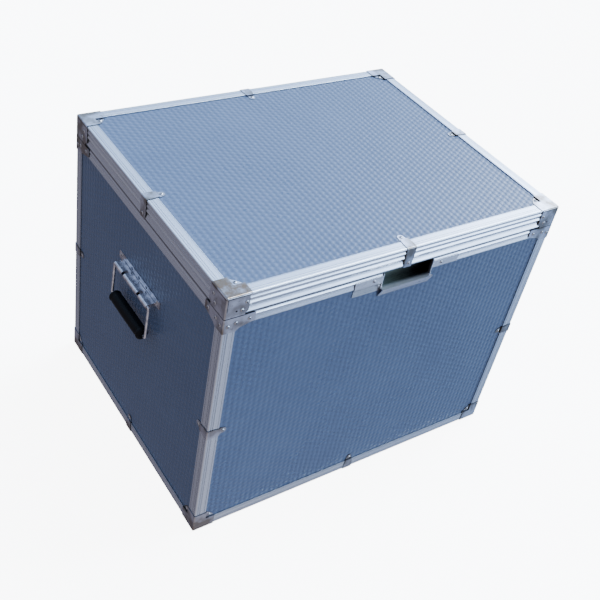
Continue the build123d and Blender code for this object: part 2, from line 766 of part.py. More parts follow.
with BuildPart() as left_bracket:
    with BuildSketch(across(-BRACKET_HALF)):
        bar(0, PIVOT_Z, BRACKET_T, BRACKET_TOP)
    extrude(amount=2 * BRACKET_HALF)
    with BuildSketch(across(-BARREL_HALF)):
        bar(0, PIVOT_Z + BARREL_R - SHELF_T, PIVOT_OUT, PIVOT_Z + BARREL_R)
        with Locations((PIVOT_OUT, PIVOT_Z)):
            Circle(BARREL_R)
    extrude(amount=2 * BARREL_HALF)
    for y in (-BARREL_HALF, BARREL_HALF - SHELF_T):
        with BuildSketch(across(y)):
            bar(0, PIVOT_Z - 2, PIVOT_OUT, PIVOT_Z + BARREL_R)
        extrude(amount=SHELF_T)
    with BuildSketch(across(-BARREL_HALF)):
        with Locations((PIVOT_OUT, PIVOT_Z)):
            Circle(WIRE_R + WIRE_FIT)
    extrude(amount=2 * BARREL_HALF, mode=Mode.SUBTRACT)
    # Two slots across the shelf and the barrel, and three holes in the plate
    for y in (-SLOT_Y, SLOT_Y):
        with BuildSketch(across(y - SLOT_WIDE / 2)):
            bar(SLOT_IN, PIVOT_Z - 6, PIVOT_OUT + 6, PIVOT_Z + 6)
        extrude(amount=SLOT_WIDE, mode=Mode.SUBTRACT)
    for y in (-PLATE_HOLE_PITCH, 0, PLATE_HOLE_PITCH):
        with Locations(Plane(origin=(-PANEL_X, y, PLATE_HOLE_Z), z_dir=(-1, 0, 0)).location):
            Cylinder(PLATE_HOLE_R, 4 * BRACKET_T, mode=Mode.SUBTRACT)
    ends = left_bracket.edges().filter_by(Axis.X).filter_by(lambda edge: abs(edge.center().Y) > BRACKET_HALF - 1)
    fillet(ends, PLATE_CORNER_R)
    drill(left_bracket, base_sites)

hang = Plane(
    origin=(-PIVOT_X, 0, PIVOT_Z),
    x_dir=(0, 1, 0),
    z_dir=(-cos(radians(LEAN)), 0, sin(radians(LEAN))),
)
with BuildPart() as left_bail:
    with BuildLine(hang):
        loop = FilletPolyline(
            (-STUB_END, 0),
            (-LEG_Y, 0),
            (-LEG_Y, LEG_LONG),
            (LEG_Y, LEG_LONG),
            (LEG_Y, 0),
            (STUB_END, 0),
            radius=WIRE_BEND,
        )
    with BuildSketch(Plane(origin=loop @ 0, z_dir=loop % 0)):
        Circle(WIRE_R)
    sweep()

grip_center = hang.from_local_coords(Vector(0, LEG_LONG))
with BuildPart() as left_grip:
    with BuildSketch(Plane(origin=grip_center + Vector(0, -GRIP_HALF, 0), z_dir=(0, 1, 0))):
        Circle(GRIP_R)
    extrude(amount=2 * GRIP_HALF)
    fillet(left_grip.edges(), GRIP_END_R)
    with BuildSketch(Plane(origin=grip_center + Vector(0, -GRIP_HALF, 0), z_dir=(0, 1, 0))):
        Circle(WIRE_R + WIRE_FIT)
    extrude(amount=2 * GRIP_HALF, mode=Mode.SUBTRACT)

for kind, left in (("handle_bracket", left_bracket), ("handle_bail", left_bail), ("handle_grip", left_grip)):
    save(left, f"left_{kind}")
    with BuildPart() as right:
        add(mirror(left.part, about=Plane.YZ))
    save(right, f"right_{kind}")

# ---------------------------------------------------------------- rivets

with BuildPart() as rivet:
    with BuildSketch(Plane.XZ):
        with BuildLine():
            dome = ThreePointArc((PIT_R, HEAD_H), (HEAD_R * 0.72, HEAD_H * 0.72), (HEAD_R, 0.2))
            Polyline(
                dome @ 1,
                (HEAD_R, 0),
                (SHANK_R, 0),
                (SHANK_R, -SHANK_L),
                (0, -SHANK_L),
                (0, -HEAD_H),
                (PIT_R, -HEAD_H),
                dome @ 0,
            )
        make_face()
    revolve(axis=Axis.Z)

for name, sites in (("base_rivets", base_sites), ("lid_rivets", lid_sites)):
    with BuildPart() as rivets:
        with Locations(*(site.location for site in sites)):
            add(rivet.part)
    save(rivets, name)

# ---------------------------------------------------------------- foam lining

foam_out = INNER + FOAM_GAP
with BuildPart() as wall_foam:
    with BuildSketch(Plane.XY.offset(FOAM_LOW)):
        Rectangle(2 * (HALF_W - foam_out), 2 * (HALF_D - foam_out))
        offset(amount=-WALL_FOAM_T, mode=Mode.SUBTRACT)
    extrude(amount=WALL_FOAM_TOP - FOAM_LOW)
save(wall_foam, "wall_foam")

floor_out = foam_out + WALL_FOAM_T + FOAM_GAP
with BuildPart() as floor_foam:
    with BuildSketch(Plane.XY.offset(FOAM_LOW)):
        Rectangle(2 * (HALF_W - floor_out), 2 * (HALF_D - floor_out))
    extrude(amount=FLOOR_FOAM_T)
save(floor_foam, "floor_foam")

with BuildPart() as lid_foam:
    with BuildSketch(Plane.XY.offset(LID_FOAM_LOW)):
        RectangleRounded(2 * (HALF_W - LID_FOAM_EDGE), 2 * (HALF_D - LID_FOAM_EDGE), 6)
    extrude(amount=Z_HIGH - INNER - FOAM_GAP - LID_FOAM_LOW)
save(lid_foam, "lid_foam")
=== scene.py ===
"""Looks for the telescope carry case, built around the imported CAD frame. Metres, in the CAD's frame."""

import math

import bmesh
import bpy
import numpy as np
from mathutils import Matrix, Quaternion, Vector
from mathutils.bvhtree import BVHTree


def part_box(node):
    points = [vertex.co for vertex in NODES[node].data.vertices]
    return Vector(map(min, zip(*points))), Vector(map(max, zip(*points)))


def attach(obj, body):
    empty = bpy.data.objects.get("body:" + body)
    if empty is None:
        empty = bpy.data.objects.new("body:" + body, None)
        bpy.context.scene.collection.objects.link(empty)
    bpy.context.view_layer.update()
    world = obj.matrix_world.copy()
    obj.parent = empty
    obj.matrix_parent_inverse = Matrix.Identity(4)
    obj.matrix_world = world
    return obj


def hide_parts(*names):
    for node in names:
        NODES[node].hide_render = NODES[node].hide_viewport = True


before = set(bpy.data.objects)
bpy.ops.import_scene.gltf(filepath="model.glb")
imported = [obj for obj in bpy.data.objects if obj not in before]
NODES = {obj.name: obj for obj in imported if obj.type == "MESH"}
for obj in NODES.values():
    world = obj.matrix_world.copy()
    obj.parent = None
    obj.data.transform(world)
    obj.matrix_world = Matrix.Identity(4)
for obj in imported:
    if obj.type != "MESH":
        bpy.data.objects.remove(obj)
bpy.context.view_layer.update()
MM = 0.001
X, Y, Z = 0, 1, 2


def add_object(name, data):
    """A new object, in the scene."""
    thing = bpy.data.objects.new(name, data)
    bpy.context.scene.collection.objects.link(thing)
    return thing


class Nodes:
    """A short way to write a material's or the world's node tree."""

    def __init__(self, tree):
        self.tree = tree
        self.tree.nodes.clear()

    def add(self, kind, inputs=None, **settings):
        node = self.tree.nodes.new(kind)
        for name, value in settings.items():
            setattr(node, name, value)
        for name, value in (inputs or {}).items():
            self.fill(node.inputs[name], value)
        return node

    def fill(self, socket, value):
        """Links a node's output to a socket, or sets the socket's own value."""
        if isinstance(value, bpy.types.NodeSocket):
            self.tree.links.new(value, socket)
        else:
            socket.default_value = value

    def math(self, operation, a, b=0.0):
        return self.add("ShaderNodeMath", {0: a, 1: b}, operation=operation).outputs[0]

    def measure(self, operation, a, b):
        """The number that an operation on two vectors gives."""
        return self.add("ShaderNodeVectorMath", {0: a, 1: b}, operation=operation).outputs["Value"]

    def axes(self, place):
        return self.add("ShaderNodeSeparateXYZ", {"Vector": place}).outputs

    def ramp(self, factor, stops):
        """A colour that runs through the stops, each a place from 0 to 1 and its colour."""
        node = self.add("ShaderNodeValToRGB", {"Fac": factor})
        elements = node.color_ramp.elements
        while len(elements) < len(stops):
            elements.new(0.5)
        for element, (place, color) in zip(elements, stops):
            element.position = place
            element.color = (*color, 1)
        return node.outputs["Color"]

    def span(self, value, low, high, to_low=0.0, to_high=1.0):
        """value's place between low and high, as a number between to_low and to_high."""
        node = self.add(
            "ShaderNodeMapRange",
            {"Value": value, "From Min": low, "From Max": high, "To Min": to_low, "To Max": to_high},
        )
        return node.outputs["Result"]

    def noise(self, place, scale, detail=3.0, roughness=0.5, stretch=(1, 1, 1)):
        mapped = self.add("ShaderNodeMapping", {"Vector": place, "Scale": stretch})
        node = self.add(
            "ShaderNodeTexNoise",
            {"Vector": mapped.outputs[0], "Scale": scale, "Detail": detail, "Roughness": roughness},
        )
        return node.outputs["Fac"]

    def mix(self, factor, a, b):
        """Colour a, turning into colour b as factor goes from 0 to 1."""
        node = self.add("ShaderNodeMix", data_type="RGBA")
        factor_at, a_at, b_at = node.inputs[0], node.inputs[6], node.inputs[7]
        self.fill(factor_at, factor)
        for socket, color in ((a_at, a), (b_at, b)):
            self.fill(socket, (*color, 1) if isinstance(color, tuple) else color)
        return node.outputs[2]

    def bump(self, height, distance, strength, normal=None):
        inputs = {"Height": height, "Distance": distance, "Strength": strength}
        if normal is not None:
            inputs["Normal"] = normal
        return self.add("ShaderNodeBump", inputs).outputs["Normal"]

    def painted_hollow_shade(self, color, reach, dark, low, high):
        """Painted shade: darkens grooves, seams and the lines where pieces meet, by ambient occlusion."""
        open_share = self.add("ShaderNodeAmbientOcclusion", {"Distance": reach}, samples=6).outputs["AO"]
        return self.mix(self.span(open_share, low, high), dark, color)

    def finish(self, inputs):
        """The material's shader, which must come last."""
        shader = self.add("ShaderNodeBsdfPrincipled", inputs)
        self.add("ShaderNodeOutputMaterial", {"Surface": shader.outputs[0]})


def start(name):
    """A new material, its nodes, and the place of each shaded point in its piece's own frame."""
    material = bpy.data.materials.new(name)
    material.use_nodes = True
    n = Nodes(material.node_tree)
    place = n.add("ShaderNodeTexCoord").outputs["Object"]
    return material, n, place


# ---------------------------------------------------------------- camera

CAMERA_AT = Vector((-0.8395, -0.999, 1.2705))
CAMERA_AIM = Vector((-0.003, -0.027, 0.2245))
CAMERA_ROLL = math.radians(12.14)
CAMERA_LENS = 55.6
CAMERA_SENSOR = 36

camera = add_object("camera", bpy.data.cameras.new("camera"))
bpy.context.scene.camera = camera
camera.data.lens = CAMERA_LENS
camera.data.sensor_width = CAMERA_SENSOR
camera.location = CAMERA_AT
level = (CAMERA_AIM - CAMERA_AT).to_track_quat("-Z", "Y")
camera.rotation_euler = (level @ Quaternion((0, 0, 1), CAMERA_ROLL)).to_euler()

# ---------------------------------------------------------------- lights

BRIGHT_SIDE = (0.80, 0.25, 0.50)  # where the world is brightest
# The world's colour, where 0 is straight away from the bright side and 1 is straight at it
SKY = [
    (0.15, (0.50, 0.47, 0.50)),
    (0.32, (0.56, 0.53, 0.58)),
    (0.54, (0.37, 0.53, 0.84)),
    (0.76, (0.68, 0.93, 1.40)),
    (0.90, (1.04, 1.46, 2.15)),
    (0.94, (1.4, 2.0, 3.0)),
    (0.965, (2.5, 3.3, 4.7)),
    (0.985, (7.0, 8.6, 11.0)),
    (1.0, (15.0, 18.0, 23.0)),
]
# A direction, the cosines at which its patch starts and is full, and the patch's colour
SOFTBOX = ((0.66, -0.73, 0.0), 0.935, 0.965, (4.4, 5.8, 7.6))
DARK_FLAG = ((-0.50, 0.62, -0.60), 0.66, 0.88, (0.20, 0.190, 0.235))

KEY_FROM = Vector((0.62, 0.02, 1.0))
KEY_STRENGTH = 3.3
KEY_SPREAD = math.radians(26)
KEY_COLOR = (0.76, 0.915, 1.0)

world = bpy.data.worlds.new("studio")
bpy.context.scene.world = world
world.use_nodes = True
w = Nodes(world.node_tree)
direction = w.add("ShaderNodeTexCoord").outputs["Generated"]


def towards(aim):
    """1 where the world's direction points at aim, and -1 where it points away."""
    return w.measure("DOT_PRODUCT", direction, Vector(aim).normalized())


studio = w.ramp(w.span(towards(BRIGHT_SIDE), -1, 1), SKY)
for aim, patch_start, patch_full, color in (SOFTBOX, DARK_FLAG):
    studio = w.mix(w.span(towards(aim), patch_start, patch_full), studio, color)
background = w.add("ShaderNodeBackground", {"Color": studio, "Strength": 1.0})
w.add("ShaderNodeOutputWorld", {"Surface": background.outputs[0]})

key = add_object("key", bpy.data.lights.new("key", "SUN"))
key.data.energy = KEY_STRENGTH
key.data.angle = KEY_SPREAD
key.data.color = KEY_COLOR
key.rotation_euler = (-KEY_FROM).to_track_quat("-Z", "Y").to_euler()

# ---------------------------------------------------------------- floor and backdrop

SWEEP_HALF = 30.0
SWEEP_LOW = -0.0005
SWEEP_GLOW = 8.0
CORNERS = ((-1, -1), (1, -1), (1, 1), (-1, 1))


def sweep(name, corners, faces, material):
    """Part of a bright sweep for the camera alone: the world gives all the light that falls on the object."""
    mesh = bpy.data.meshes.new(name)
    mesh.from_pydata([(x * SWEEP_HALF, y * SWEEP_HALF, z) for x, y, z in corners], [], faces)
    mesh.materials.append(material)
    thing = add_object(name, mesh)
    thing.visible_diffuse = False
    thing.visible_glossy = False
    thing.visible_transmission = False
    return thing


def floor_paper():
    material, n, place = start("floor_paper")
    grain = n.noise(place, 6.0, 4)
    n.finish(
        {
            "Base Color": n.ramp(grain, [(0.3, (0.78, 0.78, 0.78)), (0.7, (0.80, 0.80, 0.80))]),
            "Roughness": 0.9,
            "Specular IOR Level": 0.1,
            "Emission Color": (1, 1, 1, 1),
            "Emission Strength": SWEEP_GLOW,
        }
    )
    return material


PAPER = floor_paper()
sweep("floor", [(x, y, SWEEP_LOW) for x, y in CORNERS], [(0, 1, 2, 3)], PAPER)
walls = sweep(
    "backdrop",
    [(x, y, z) for z in (SWEEP_LOW, SWEEP_HALF) for x, y in CORNERS],
    [(0, 1, 5, 4), (1, 2, 6, 5), (2, 3, 7, 6), (3, 0, 4, 7), (4, 5, 6, 7)],
    PAPER,
)
walls.visible_shadow = False

# ---------------------------------------------------------------- the emboss, in geometry and in the finish

EMBOSS_COLUMN = 9.7 * MM  # between columns of bumps
EMBOSS_HALF_ROW = 5.1 * MM  # half the pitch along a column; the next column starts here
EMBOSS_HIGH = 0.48 * MM
# Two cosine waves make the bumps. What the code calls away is 0 on a bump's top and grows from there.
# A bump rises where away is under BUMP_EDGE, and is full where away is BUMP_SLOPE less than that.
ACROSS_PULL = 1.45
ALONG_PULL = 0.52
BUMP_EDGE = 1.35
BUMP_SLOPE = 1.15
CROWN_EDGE = 1.25  # where the crown's lighter colour starts
CROWN_FULL = 0.45  # and where it is full


def panel_skin(name, across, along):
    """Blue-grey laminate with staggered bumps. across and along are the panel's two axes."""
    material, n, place = start(name)
    xyz = n.axes(place)
    wave_a = n.math("COSINE", n.math("MULTIPLY", xyz[across], math.pi / EMBOSS_COLUMN))
    wave_b = n.math("COSINE", n.math("MULTIPLY", xyz[along], math.pi / EMBOSS_HALF_ROW))
    pull = n.math("ADD", n.math("MULTIPLY", wave_a, ACROSS_PULL), n.math("MULTIPLY", wave_b, ALONG_PULL))
    away = n.math("SUBTRACT", ACROSS_PULL + ALONG_PULL, n.math("ABSOLUTE", pull))
    crown = n.span(away, CROWN_EDGE, CROWN_FULL)
    cloud = n.noise(place, 7.0, 4, 0.55)
    mottle = n.noise(place, 60.0, 3, 0.6)
    color = n.ramp(cloud, [(0.3, (0.082, 0.116, 0.200)), (0.7, (0.096, 0.135, 0.226))])
    color = n.mix(n.span(mottle, 0.3, 0.7, 0.0, 0.35), color, (0.069, 0.100, 0.178))
    color = n.mix(n.span(crown, 0.0, 1.0, 0.0, 0.10), color, (0.135, 0.185, 0.295))
    scuffs = n.noise(place, 45.0, 6, 0.75)
    scuff = n.math("MULTIPLY", n.span(scuffs, 0.66, 0.74), crown)
    color = n.mix(n.math("MULTIPLY", scuff, 0.25), color, (0.22, 0.30, 0.44))
    pores = n.noise(place, 2400.0, 2, 0.6)
    normal = n.bump(crown, 0.07 * MM, 0.8)
    normal = n.bump(pores, 0.02 * MM, 0.5, normal)
    rough = n.math("ADD", n.span(cloud, 0.3, 0.7, 0.21, 0.27), n.math("MULTIPLY", mottle, 0.08))
    n.finish({"Base Color": color, "Roughness": rough, "Specular IOR Level": 0.36, "Normal": normal})
    return material


# ---------------------------------------------------------------- metals

SEAM_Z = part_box("front_lid_rail")[0].z  # the closing line, where the aluminium gets a band of painted shade
NEAR_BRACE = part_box("front_left_lid_brace")
BROWN_PATCH_CORNER = Vector((NEAR_BRACE[0].x, NEAR_BRACE[0].y, NEAR_BRACE[1].z))  # the top corner of that brace, where its dark brown patch is centred
DISH_LEFT, DISH_RIGHT = -41.5 * MM, 53.5 * MM  # the finger dish's pocket, along X, over which its painted shade runs
DISH_SHADE_DEPTHS = (-247.0 * MM, -240.0 * MM)  # where the pocket's painted shade starts along Y, and is darkest
# the black of the painted shade in the hollows of nickel and chrome
HOLLOW_SHADE_BLACK = (0.02, 0.02, 0.022)


def aluminium(name, axis):
    """Satin anodised extrusion with drawing lines along one axis."""
    material, n, place = start(name)
    fine = [1400.0, 1400.0, 1400.0]
    fine[axis] = 5.0
    broad = [210.0, 210.0, 210.0]
    broad[axis] = 1.2
    lines = n.noise(place, 1.0, 3, 0.6, stretch=fine)
    streaks = n.noise(place, 1.0, 2, 0.6, stretch=broad)
    cloud = n.noise(place, 9.0, 4, 0.6)
    color = n.ramp(
        streaks,
        [(0.30, (0.56, 0.60, 0.69)), (0.48, (0.70, 0.745, 0.83)), (0.70, (0.80, 0.84, 0.90))],
    )
    color = n.mix(n.span(cloud, 0.35, 0.7, 0.0, 0.22), color, (0.60, 0.61, 0.70))
    # Painted shade in the grooves and where pieces meet
    color = n.painted_hollow_shade(color, 2.6 * MM, (0.03, 0.035, 0.05), 0.50, 0.93)
    # Painted shade: a grey band along the closing line, for the shaded recess there
    from_seam = n.math("ABSOLUTE", n.math("SUBTRACT", n.axes(place)["Z"], SEAM_Z))
    color = n.mix(n.span(from_seam, 0.9 * MM, 2.6 * MM), (0.27, 0.275, 0.31), color)
    rough = n.math("ADD", n.span(lines, 0.3, 0.7, 0.19, 0.28), n.span(cloud, 0.3, 0.7, 0.0, 0.06))
    normal = n.bump(lines, 0.012 * MM, 0.55)
    normal = n.bump(streaks, 0.05 * MM, 0.5, normal)
    n.finish({"Base Color": color, "Metallic": 0.9, "Roughness": rough, "Normal": normal})
    return material


def nickel(name):
    """Bright nickel-plated pressing: slightly uneven, warm in places, with rubbed and stained spots."""
    material, n, place = start(name)
    swell = n.noise(place, 34.0, 2, 0.5)
    stain = n.noise(place, 120.0, 5, 0.65)
    rub = n.noise(place, 900.0, 2, 0.5, stretch=(1, 0.15, 1))
    color = n.ramp(
        swell,
        [(0.40, (0.25, 0.22, 0.20)), (0.50, (0.43, 0.425, 0.46)), (0.60, (0.64, 0.655, 0.74))],
    )
    color = n.mix(n.span(stain, 0.56, 0.72, 0.0, 0.55), color, (0.16, 0.14, 0.135))
    # The brace nearest the viewer gets a dark brown patch on top
    on_top = n.span(n.axes(place)["Z"], BROWN_PATCH_CORNER.z - 0.6 * MM, BROWN_PATCH_CORNER.z - 0.1 * MM)
    apart = n.measure("DISTANCE", place, BROWN_PATCH_CORNER)
    patch = n.math("MULTIPLY", n.span(apart, 68 * MM, 40 * MM), n.span(stain, 0.35, 0.6, 0.45, 0.95))
    color = n.mix(n.math("MULTIPLY", on_top, patch), color, (0.19, 0.125, 0.08))
    # Painted shade in creases and where the pressing meets other pieces
    color = n.painted_hollow_shade(color, 3.0 * MM, HOLLOW_SHADE_BLACK, 0.58, 0.97)
    rough = n.math("ADD", n.span(stain, 0.3, 0.7, 0.10, 0.24), n.math("MULTIPLY", rub, 0.06))
    normal = n.bump(swell, 0.35 * MM, 0.6)
    normal = n.bump(rub, 0.01 * MM, 0.4, normal)
    n.finish({"Base Color": color, "Metallic": 0.96, "Roughness": rough, "Normal": normal})
    return material


def chrome(name):
    """Bright chrome with faint haze and wear."""
    material, n, place = start(name)
    haze = n.noise(place, 110.0, 3, 0.5)
    specks = n.noise(place, 700.0, 3, 0.7)
    color = n.ramp(haze, [(0.38, (0.48, 0.47, 0.51)), (0.60, (0.80, 0.79, 0.84))])
    color = n.mix(n.span(specks, 0.66, 0.76, 0.0, 0.6), color, (0.22, 0.20, 0.19))
    # Painted shade in the hollows of the handle
    color = n.painted_hollow_shade(color, 2.5 * MM, HOLLOW_SHADE_BLACK, 0.30, 0.85)
    rough = n.span(haze, 0.3, 0.7, 0.20, 0.32)
    normal = n.bump(haze, 0.12 * MM, 0.4)
    n.finish({"Base Color": color, "Metallic": 1.0, "Roughness": rough, "Normal": normal})
    return material


def steel(name, light, dark, pocket_shade_depths=None):
    """Plate brushed along X. A pocket between two depths gets painted shade, darker towards its right end,
    with a painted grey-green reflection at its left.
    """
    material, n, place = start(name)
    brush = n.noise(place, 1.0, 3, 0.6, stretch=(6.0, 900.0, 900.0))
    cloud = n.noise(place, 40.0, 4, 0.6)
    color = n.ramp(brush, [(0.3, dark), (0.7, light)])
    color = n.mix(n.span(cloud, 0.5, 0.75, 0.0, 0.4), color, dark)
    # Painted shade in creases and where pieces meet
    color = n.painted_hollow_shade(color, 2.0 * MM, (0.05, 0.05, 0.055), 0.4, 0.9)
    if pocket_shade_depths:
        xyz = n.axes(place)
        # Painted reflection, grey-green at the pocket's left end, turning into painted shade, black towards
        # its right end
        pocket_shade = n.ramp(
            n.span(xyz["X"], DISH_LEFT, DISH_RIGHT),
            [(0.0, (0.26, 0.30, 0.28)), (0.40, (0.12, 0.135, 0.115)), (0.80, (0.02, 0.02, 0.02))],
        )
        color = n.mix(n.span(xyz["Y"], *pocket_shade_depths), color, pocket_shade)
    rough = n.math("ADD", n.span(brush, 0.3, 0.7, 0.20, 0.34), n.span(cloud, 0.3, 0.7, 0.0, 0.08))
    normal = n.bump(brush, 0.015 * MM, 0.5)
    n.finish({"Base Color": color, "Metallic": 0.9, "Roughness": rough, "Normal": normal})
    return material


def rivet_metal(name):
    """Satin aluminium heads, with painted shade in the pit left by the mandrel."""
    material, n, place = start(name)
    spots = n.noise(place, 500.0, 4, 0.6)
    color = n.ramp(spots, [(0.3, (0.34, 0.34, 0.37)), (0.7, (0.62, 0.62, 0.66))])
    # Painted shade in the pit and round the head
    color = n.painted_hollow_shade(color, 1.6 * MM, (0.012, 0.011, 0.012), 0.62, 0.93)
    rough = n.span(spots, 0.3, 0.7, 0.22, 0.38)
    normal = n.bump(spots, 0.03 * MM, 0.5)
    n.finish({"Base Color": color, "Metallic": 0.85, "Roughness": rough, "Normal": normal})
    return material


# ---------------------------------------------------------------- rubber and foam


def rubber(name):
    """Matt black moulded rubber, dusty in places."""
    material, n, place = start(name)
    grain = n.noise(place, 1500.0, 3, 0.6)
    dust = n.noise(place, 60.0, 5, 0.65)
    color = n.ramp(dust, [(0.35, (0.0015, 0.0015, 0.002)), (0.75, (0.005, 0.005, 0.006))])
    rough = n.span(dust, 0.3, 0.7, 0.42, 0.58)
    normal = n.bump(grain, 0.05 * MM, 0.5)
    n.finish({"Base Color": color, "Roughness": rough, "Specular IOR Level": 0.14, "Normal": normal})
    return material


def foam(name):
    """Charcoal open-cell foam."""
    material, n, place = start(name)
    cells = n.add("ShaderNodeTexVoronoi", {"Vector": place, "Scale": 900.0}, feature="F1").outputs["Distance"]
    cloud = n.noise(place, 18.0, 4, 0.6)
    color = n.ramp(cells, [(0.1, (0.012, 0.012, 0.014)), (0.6, (0.062, 0.063, 0.070))])
    color = n.mix(n.span(cloud, 0.35, 0.7, 0.0, 0.35), color, (0.085, 0.086, 0.094))
    n.finish(
        {
            "Base Color": color,
            "Roughness": n.span(cloud, 0.3, 0.7, 0.88, 0.98),
            "Specular IOR Level": 0.15,
            "Sheen Weight": 0.15,
            "Normal": n.bump(cells, 0.5 * MM, 0.8),
        }
    )
    return material


ALUMINIUM = [aluminium(f"aluminium_along_{letter}", axis) for axis, letter in enumerate("xyz")]
NICKEL = nickel("nickel_plate")
CHROME = chrome("handle_chrome")
DISH = steel("dish_plate", (0.86, 0.87, 0.93), (0.66, 0.67, 0.74), DISH_SHADE_DEPTHS)
HINGE = steel("hinge_steel", (0.70, 0.70, 0.71), (0.48, 0.48, 0.50))
RIVET = rivet_metal("rivet_metal")
RUBBER = rubber("grip_rubber")
FOAM = foam("lining_foam")

# ---------------------------------------------------------------- finishes on the CAD nodes

REBUILT = ("_panel", "foam", "grip")  # the ends of the names of nodes that get a new piece below


def node_finish(name):
    if name.endswith("rivets"):
        return RIVET
    if "hinge" in name:
        return HINGE
    if "bail" in name or "bracket" in name:
        return CHROME
    if name == "finger_dish":
        return DISH
    if name.endswith("_post"):
        return ALUMINIUM[Z]
    if "rail" in name:
        return ALUMINIUM[X if name.startswith(("front", "rear")) else Y]
    return NICKEL


for name, node in NODES.items():
    if not name.endswith(REBUILT):
        node.data.materials.clear()
        node.data.materials.append(node_finish(name))

# ---------------------------------------------------------------- how a new piece is made

SHARP = math.radians(50)  # an edge this sharp is not shaded smooth
CORNER_COSINE = 0.5  # a border turns a corner where its direction's cosine falls below this


def new_piece(name, vertices, faces, material, body, slot, *nodes):
    """A visible piece that rides on a body and stands for one or more CAD nodes."""
    mesh = bpy.data.meshes.new(name)
    mesh.from_pydata(vertices, [], faces)
    build = bmesh.new()
    build.from_mesh(mesh)
    bmesh.ops.recalc_face_normals(build, faces=build.faces)
    for face in build.faces:
        face.smooth = True
    for edge in build.edges:
        if edge.is_manifold and edge.calc_face_angle(0) > SHARP:
            edge.smooth = False
    build.to_mesh(mesh)
    build.free()
    mesh.materials.append(material)
    piece = add_object(name, mesh)
    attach(piece, body)
    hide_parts(*nodes)
    return piece


def sheet_faces(rows, columns, kept=None):
    """Faces between rows of vertices, with columns vertices each. kept says which of them to make."""
    faces = []
    for i in range(rows - 1):
        for j in range(columns - 1):
            if kept is None or kept[i, j]:
                k = i * columns + j
                faces.append((k, k + columns, k + columns + 1, k + 1))
    return faces


def tube_faces(rings, count):
    """Faces between rings of vertices, with count vertices each. The last ring meets the first."""
    faces = []
    for i in range(rings):
        here, there = i * count, (i + 1) % rings * count
        for j in range(count):
            k = (j + 1) % count
            faces.append((here + j, here + k, there + k, there + j))
    return faces


def border_ring(faces):
    """A sheet's border vertices, in order."""
    edges = {}  # keeps the order of the edges, so that each run makes the same mesh
    for face in faces:
        for edge in zip(face, face[1:] + face[:1]):
            if edge[::-1] in edges:
                del edges[edge[::-1]]
            else:
                edges[edge] = None
    after = dict(edges.keys())
    ring = [next(iter(after))]
    while after[ring[-1]] != ring[0]:
        ring.append(after[ring[-1]])
    return ring


def close_board(vertices, faces, out_axis, back):
    """Gives a sheet its sides, and a flat back that lies at the place back on out_axis."""
    ring = border_ring(faces)
    corners = []
    for before, here, following in zip(ring[-1:] + ring[:-1], ring, ring[1:] + ring[:1]):
        one = Vector(vertices[here]) - Vector(vertices[before])
        two = Vector(vertices[following]) - Vector(vertices[here])
        one[out_axis] = two[out_axis] = 0
        if abs(one.normalized().dot(two.normalized())) < CORNER_COSINE:
            corners.append(here)
    partner = {}
    for here in corners:
        point = list(vertices[here])
        point[out_axis] = back
        partner[here] = len(vertices)
        vertices.append(tuple(point))
    first = ring.index(corners[0])
    ring = ring[first:] + ring[:first]
    marks = [ring.index(corner) for corner in corners] + [len(ring)]
    ring.append(ring[0])
    for start_at, end_at in zip(marks[:-1], marks[1:]):
        edge = ring[start_at:end_at + 1]
        faces.append(tuple(edge[::-1]) + (partner[edge[0]], partner[edge[-1]]))
    faces.append(tuple(partner[corner] for corner in corners))


def without_strays(vertices, faces):
    """The same mesh, without the vertices that no face uses."""
    used = sorted({v for face in faces for v in face})
    place = {v: k for k, v in enumerate(used)}
    return [vertices[v] for v in used], [tuple(place[v] for v in face) for face in faces]


# ---------------------------------------------------------------- embossed panels

MAX_CELLS = 97000  # keeps a panel under 200,000 triangles
COVER_START = 0.02 * MM  # a ray that looks for what covers a panel starts this far off its face
COVER_REACH = 3 * MM  # and goes this far
NOT_COVERING = ("_panel", "foam", "rivets", "bail", "grip")


def covering_tree():
    """Everything that can lie on a panel, for finding which of its bumps are covered."""
    vertices, polygons = [], []
    for name, node in NODES.items():
        if name.endswith(NOT_COVERING):
            continue
        first = len(vertices)
        vertices += [v.co for v in node.data.vertices]
        polygons += [[first + i for i in p.vertices] for p in node.data.polygons]
    return BVHTree.FromPolygons(vertices, polygons)


COVER = covering_tree()


def grid_lines(low, high, count, stops):
    """Even lines from low to high, with the nearest line moved to each stop."""
    lines = np.linspace(low, high, count)
    for stop in stops:
        lines[np.abs(lines - stop).argmin()] = stop
    return lines


def bump_rise(a_lines, b_lines):
    """How far the emboss stands out where each pair of lines cross."""
    aa, bb = np.meshgrid(a_lines, b_lines, indexing="ij")
    pull = ACROSS_PULL * np.cos(np.pi * aa / EMBOSS_COLUMN)
    pull = pull + ALONG_PULL * np.cos(np.pi * bb / EMBOSS_HALF_ROW)
    away = ACROSS_PULL + ALONG_PULL - np.abs(pull)
    t = np.clip((BUMP_EDGE - away) / BUMP_SLOPE, 0, 1)
    return t * t * (3 - 2 * t) * EMBOSS_HIGH


